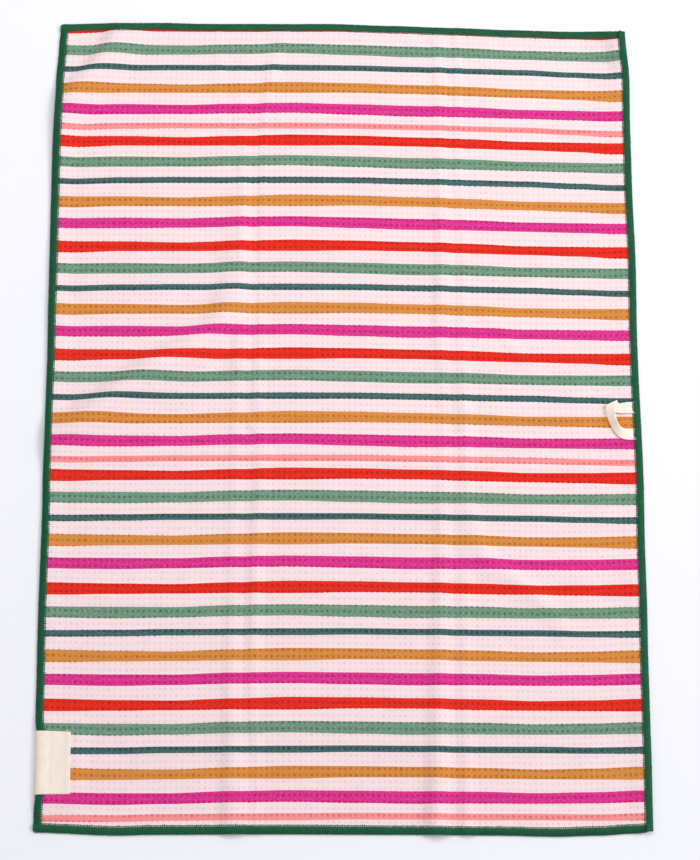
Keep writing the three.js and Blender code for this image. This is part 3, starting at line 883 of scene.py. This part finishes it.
# The right run goes from end to end. The ends of the top and bottom runs go a little
# under it, and those of the left run a little under them.
side_end = half_length - edging_butt + joint_overlap
end_start = -half_width - end_overrun
end_stop = half_width - edging_butt + joint_overlap
edging_right = sew_edge(
    "stitched_edge_right", place_on_side(1), first_stitch_inset - half_length,
    half_length - end_overrun, edging_thread, lifted=rises_at,
)
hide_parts("edging_right")
edging_left = sew_edge(
    "stitched_edge_left", place_on_side(-1), -side_end, side_end, edging_thread,
    widths=left_widths,
)
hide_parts("edging_left")
edging_top = sew_edge(
    "stitched_edge_top", place_on_end(1), end_start, end_stop, edging_thread,
    round_end=end_start, widths=top_widths,
)
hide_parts("edging_top")
edging_bottom = sew_edge(
    "stitched_edge_bottom", place_on_end(-1), end_start, end_stop, edging_thread,
    round_end=end_start, widths=bottom_widths,
)
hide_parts("edging_bottom")

# The hanging loop: 10 mm cream twill tape, folded over on itself where it
# turns, with both its ends caught under the stitches of the right edging. Its
# inner side stands up off the cloth between the two ends.

tape_half_width = 5.0
tape_thickness = 0.9
tape_centre = -6.7
tape_steps = 150
# Both edges of the tape, row by row: (in from the edging, up the towel, height), where
# the first row lies inside the edging above and the last inside it below.
tape_rows = [
    ((-1.9, 16.5, 2.35), (-1.9, 6.3, 2.35)),
    ((0.0, 16.4, 2.5), (0.0, 6.4, 2.5)),
    ((5.6, 16.1, 2.9), (5.8, 6.1, 2.8)),
    ((9.9, 15.2, 3.0), (10.6, 6.0, 2.6)),
    ((12.2, 15.0, 3.0), (16.4, 7.4, 2.3)),
    ((13.2, 15.8, 3.0), (20.6, 10.4, 2.1)),
    ((13.6, 16.5, 3.1), (22.5, 12.5, 2.1)),
    ((13.9, 17.4, 3.8), (22.9, 13.4, 2.8)),
    ((14.2, 16.6, 4.5), (23.3, 12.6, 3.5)),
    ((15.7, 13.0, 6.0), (23.8, 10.0, 3.1)),
    ((16.6, 8.0, 7.3), (23.4, 6.0, 2.6)),
    ((16.3, 2.8, 7.8), (22.2, 1.0, 2.4)),
    ((14.9, -2.3, 7.4), (19.8, -4.8, 2.3)),
    ((12.1, -6.0, 6.0), (16.0, -11.6, 2.2)),
    ((8.2, -7.9, 4.4), (11.1, -16.0, 2.2)),
    ((4.4, -7.9, 3.2), (5.8, -17.2, 2.5)),
    ((0.0, -7.4, 2.5), (0.0, -17.2, 2.5)),
    ((-1.9, -7.3, 2.35), (-1.9, -17.2, 2.35)),
]
# Round the tape's section, whose selvedges are thicker: (across, through), from -1 to 1
tape_section = [
    (-1.0, 0.0), (-0.985, 0.62), (-0.93, 1.08), (-0.85, 1.12), (-0.78, 0.9), (-0.4, 0.92),
    (0.0, 0.92), (0.4, 0.92), (0.78, 0.9), (0.85, 1.12), (0.93, 1.08), (0.985, 0.62),
    (1.0, 0.0), (0.985, -0.62), (0.93, -1.0), (0.78, -0.9), (0.4, -0.92), (0.0, -0.92),
    (-0.4, -0.92), (-0.78, -0.9), (-0.93, -1.0), (-0.985, -0.62),
]


def close_strip(rings):
    """Faces of a closed strip that joins rings of the same number of points."""
    count = len(rings[0])
    faces = []
    for ring in range(len(rings) - 1):
        for side in range(count):
            a = ring * count + side
            b = ring * count + (side + 1) % count
            faces.append([a, a + count, b + count, b])
    faces.append(list(range(count)))
    faces.append([(len(rings) - 1) * count + side for side in reversed(range(count))])
    return faces


def lengths_along(line):
    steps = np.linalg.norm(np.diff(line, axis=0), axis=1)
    return np.concatenate([[0], np.cumsum(steps)])


tape_x, tape_y = lay_at(np.array(half_width - edging_butt), np.array(tape_centre))
rail_a, rail_b = (
    smooth_route([(tape_x - inward, tape_y + up, high) for inward, up, high in rail], tape_steps)
    for rail in zip(*tape_rows)
)
centre_line = (rail_a + rail_b) / 2
tape_runs = np.gradient(centre_line, axis=0)
tape_up = np.cross(rail_a - rail_b, tape_runs)
tape_up /= np.linalg.norm(tape_up, axis=1)[:, None]
tape_length = lengths_along(centre_line)
tape_rings, tape_marks = [], []
for step in range(tape_steps + 1):
    ring = [
        centre_line[step] + (rail_a[step] - rail_b[step]) * (over / 2)
        + tape_up[step] * (through * tape_thickness / 2)
        for over, through in tape_section
    ]
    tape_rings.append(ring)
    tape_marks += [(over * tape_half_width, tape_length[step], 0.0) for over, _ in tape_section]


def woven_material(name, colour, pitch, slant, contrast, translucent):
    """Plain woven tape: threads crossing, or in twill lines where they slant."""
    material, bench, shader = new_material(name)
    place = bench.attribute("tape_place")["Vector"]
    threads = bench.put(
        "Group", {"node_tree": woven_threads},
        **{"Place": place, "Thread Pitch": pitch, "Slant": slant, "Unevenness": 0.5},
    ).outputs
    light = bench.remap(threads["Shade"], 0.0, 1.0, 1 - contrast, 1 + contrast)
    clouds = bench.remap(bench.noise(place, 0.15, 2.0), 0.2, 0.8, 0.96, 1.04)
    toned = bench.tint(colour, bench.math("MULTIPLY", light, clouds))
    rough = bench.remap(threads["Shade"], 0.0, 1.0, 0.78, 0.92)
    bench.surface(shader, toned, rough, threads["Height"], strength=0.5, depth=0.00015)
    shader.inputs["Specular IOR Level"].default_value = 0.2
    shader.inputs["Subsurface Weight"].default_value = translucent
    shader.inputs["Subsurface Radius"].default_value = (1.0, 0.8, 0.7)
    shader.inputs["Subsurface Scale"].default_value = 0.003
    return material


tape = make_piece(
    "hanging_tape", np.concatenate(tape_rings), close_strip(tape_rings),
    woven_material("cream_twill_tape", (0.995, 0.873, 0.732), 0.85, 0.7, 0.08, 0.4),
)
set_attribute(tape, "tape_place", "FLOAT_VECTOR", "POINT", tape_marks)
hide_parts("hanging_loop")

# The care label: 52 mm wide woven tape, folded round the left edging and sewn
# through the cloth near its free end. It is bare.

label_thickness = 0.45
label_off_cloth = 0.32
label_steps = 40
label_skew = 0.045
label_section_steps = 60
selvedge_from = 0.97
selvedge_share = 0.55
# Where the label's front lies on the cloth, in from the left outline, and how it goes on
# over the edging and back under the cloth: (in, up)
label_front = (28.7, 25.0, 21.0, 17.0, 13.5, 11.0)
label_turn = [
    (8.6, 4.02), (6.4, 4.36), (4.4, 4.46), (2.6, 4.20), (1.1, 3.60), (0.1, 2.8), (-0.25, 2.0),
    (0.1, 1.2), (1.0, 0.62), (3.0, 0.32), (8.0, 0.26), (14.0, 0.26), (22.0, 0.26), (28.7, 0.26),
]


def cloth_face(inward, run):
    """The height of the cloth's face at a place in from the left outline."""
    across_place, run = np.array(inward - half_width), np.array(run)
    return float(middle_height(across_place, run) + half_thickness(across_place, run))


def label_path(run):
    """The middle of the label's thickness from its front end round to its back end."""
    front = [(inward, cloth_face(inward, run) + label_off_cloth) for inward in label_front]
    return smooth_route([(*place, 0.0) for place in front + label_turn], label_section_steps)


label_rings, label_marks = [], []
for station in np.linspace(-1, 1, label_steps + 1):
    run = label_centre + station * label_length / 2
    path = label_path(run)[:, :2]
    heading = np.gradient(path, axis=0)
    heading /= np.linalg.norm(heading, axis=1)[:, None]
    out = np.stack([heading[:, 1], -heading[:, 0]], -1)
    length = lengths_along(path)
    half = label_thickness / 2 * (1.0 if abs(station) < selvedge_from else selvedge_share)
    ring = np.concatenate([path + out * half, (path - out * half)[::-1]])
    skewed = run + label_skew * ring[:, 0] * (1 - station) / 2
    x, y = lay_at(ring[:, 0] - half_width, skewed)
    label_rings.append(np.stack([x, y, ring[:, 1]], -1))
    both_ways = np.concatenate([length, length[::-1]])
    label_marks.append(np.stack([both_ways, run + 0 * both_ways, station + 0 * both_ways], -1))

label = make_piece(
    "bare_label", np.concatenate(label_rings), close_strip(label_rings),
    woven_material("cream_label_weave", (0.915, 0.772, 0.668), 0.42, 0.0, 0.06, 0.1),
)
set_attribute(label, "tape_place", "FLOAT_VECTOR", "POINT", np.concatenate(label_marks))
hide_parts("care_label")

# The cream sewing: a row of stitches through the label and the cloth near the
# label's free end, and two trimmed ends of a thicker thread, one on the cloth
# above the label and one on the edging, where the loop's lower end goes in.

stitch_row = 25.4
stitch_row_half = 23.4
label_stitches = 19
cream_sides = 6
stitch_arch = [(-1.05, -0.12), (-0.8, 0.1), (-0.3, 0.2), (0.3, 0.2), (0.8, 0.1), (1.05, -0.12)]
loose_arch = [(-1.3, 0.0), (-0.7, 0.3), (0.0, 0.42), (0.7, 0.3), (1.2, 0.0)]
thin_radius = 0.17
thick_radius = 0.24
label_stitch = take_pattern(draw_thread("label_stitch", stitch_arch, thin_radius, cream_sides))
loose_end = take_pattern(draw_thread("loose_end", loose_arch, thick_radius, cream_sides))
loose_end_above_label = (25.8, label_centre + label_length / 2 + 1.0)
loose_end_off_cloth = 0.15
loose_end_on_edging = (6.8, -22.5)
loose_end_off_middle = 1.83
cream_points, cream_faces, cream_marks = [], [], []


def lay_thread(pattern, across_place, along_place, base, turned):
    """Lays a drawn thread along the towel, or across it where turned, on a height."""
    points, faces = pattern
    first, second = (points[:, 1], points[:, 0]) if turned else (points[:, 0], -points[:, 1])
    x, y = lay_at(across_place + second, along_place + first)
    total = sum(len(part) for part in cream_points)
    cream_points.append(np.stack([x, y, base + points[:, 2]], -1))
    cream_faces.extend([[corner + total for corner in face] for face in faces])
    ring = np.arange(len(points)) // cream_sides
    cream_marks.append(np.stack([ring * 1.0, points[:, 1], np.full(len(points), 0.5)], -1))


label_face = label_off_cloth + label_thickness / 2
for run in np.linspace(-stitch_row_half, stitch_row_half, label_stitches):
    place = label_centre + run
    skewed = place + label_skew * stitch_row * (1 - 2 * run / label_length) / 2
    base = cloth_face(stitch_row, place) + label_face
    lay_thread(label_stitch, stitch_row - half_width, skewed, base, turned=False)
inward, run = loose_end_above_label
base = cloth_face(inward, run) + loose_end_off_cloth
lay_thread(loose_end, inward - half_width, run, base, turned=True)
inward, run = loose_end_on_edging
base = float(middle_height(np.array(half_width), np.array(run))) + loose_end_off_middle
lay_thread(loose_end, half_width - inward, run, base, turned=True)
cream_stitches = make_piece(
    "cream_stitches", np.concatenate(cream_points), cream_faces,
    thread_material("cream_sewing_thread", (0.92, 0.86, 0.76), (0.4, 0.4, 0.4, 1.0), 0.06),
)
set_attribute(cream_stitches, "thread_place", "FLOAT_VECTOR", "POINT", np.concatenate(cream_marks))

# The table top: a plain pale board under the towel, far wider than the view. It
# is the photo's ground, and no part of the towel.

table_size = 16.0
table_drop = 0.0002
bpy.ops.object.select_all(action="DESELECT")
bpy.ops.mesh.primitive_plane_add(size=table_size, location=(0, 0, -table_drop))
table_top = bpy.context.object
table_top.name = "table_top"
white, bench, shader = new_material("plain_white_surface")
spot = bench.put("TexCoord").outputs["Object"]
fleck = bench.put("TexNoise", Vector=spot, Scale=90.0, Detail=3.0).outputs[0]
bench.feed(
    shader.inputs["Base Color"],
    bench.blend("MIX", fleck, (0.850, 0.847, 0.886, 1.0), (0.866, 0.863, 0.900, 1.0)),
)
shader.inputs["Roughness"].default_value = 0.7
shader.inputs["Specular IOR Level"].default_value = 0.2
table_top.data.materials.append(white)

# The light and the camera: a window-like lamp at the right, a weaker one over the
# far end and pale light all round. The camera looks down from just past the near end.


def add_lamp(name, place, size, power, colour):
    """A round soft lamp aimed at the middle of the towel."""
    bpy.ops.object.light_add(type="AREA", location=place)
    lamp = bpy.context.object
    lamp.name = name
    lamp.data.shape = "DISK"
    lamp.data.size = size
    lamp.data.energy = power
    lamp.data.color = colour
    lamp.rotation_euler = (lamp.location * -1).to_track_quat("-Z", "Y").to_euler()


add_lamp("window_at_the_right", (4.0, 0.55, 3.2), 2.2, 126.0, (1.0, 0.985, 0.965))
add_lamp("lamp_over_the_far_end", (0.2, 0.95, 1.5), 0.8, 10.2, (1.0, 0.99, 0.98))

world = bpy.data.worlds.new("soft_room_light")
world.use_nodes = True
room_light = world.node_tree.nodes["Background"].inputs
room_light["Color"].default_value = (0.93, 0.95, 1.0, 1.0)
room_light["Strength"].default_value = 0.63
bpy.context.scene.world = world
bpy.context.scene.view_settings.view_transform = "Standard"

bpy.ops.object.camera_add(
    location=(-0.04853, -0.43532, 1.72602),
    rotation=(math.radians(13.628), math.radians(-1.792), math.radians(-0.083)),
)
camera = bpy.context.object
camera.data.lens = 86.60
camera.data.sensor_width = 36.0
camera.data.shift_x = -0.00099
camera.data.shift_y = 0.00035
bpy.context.scene.camera = camera
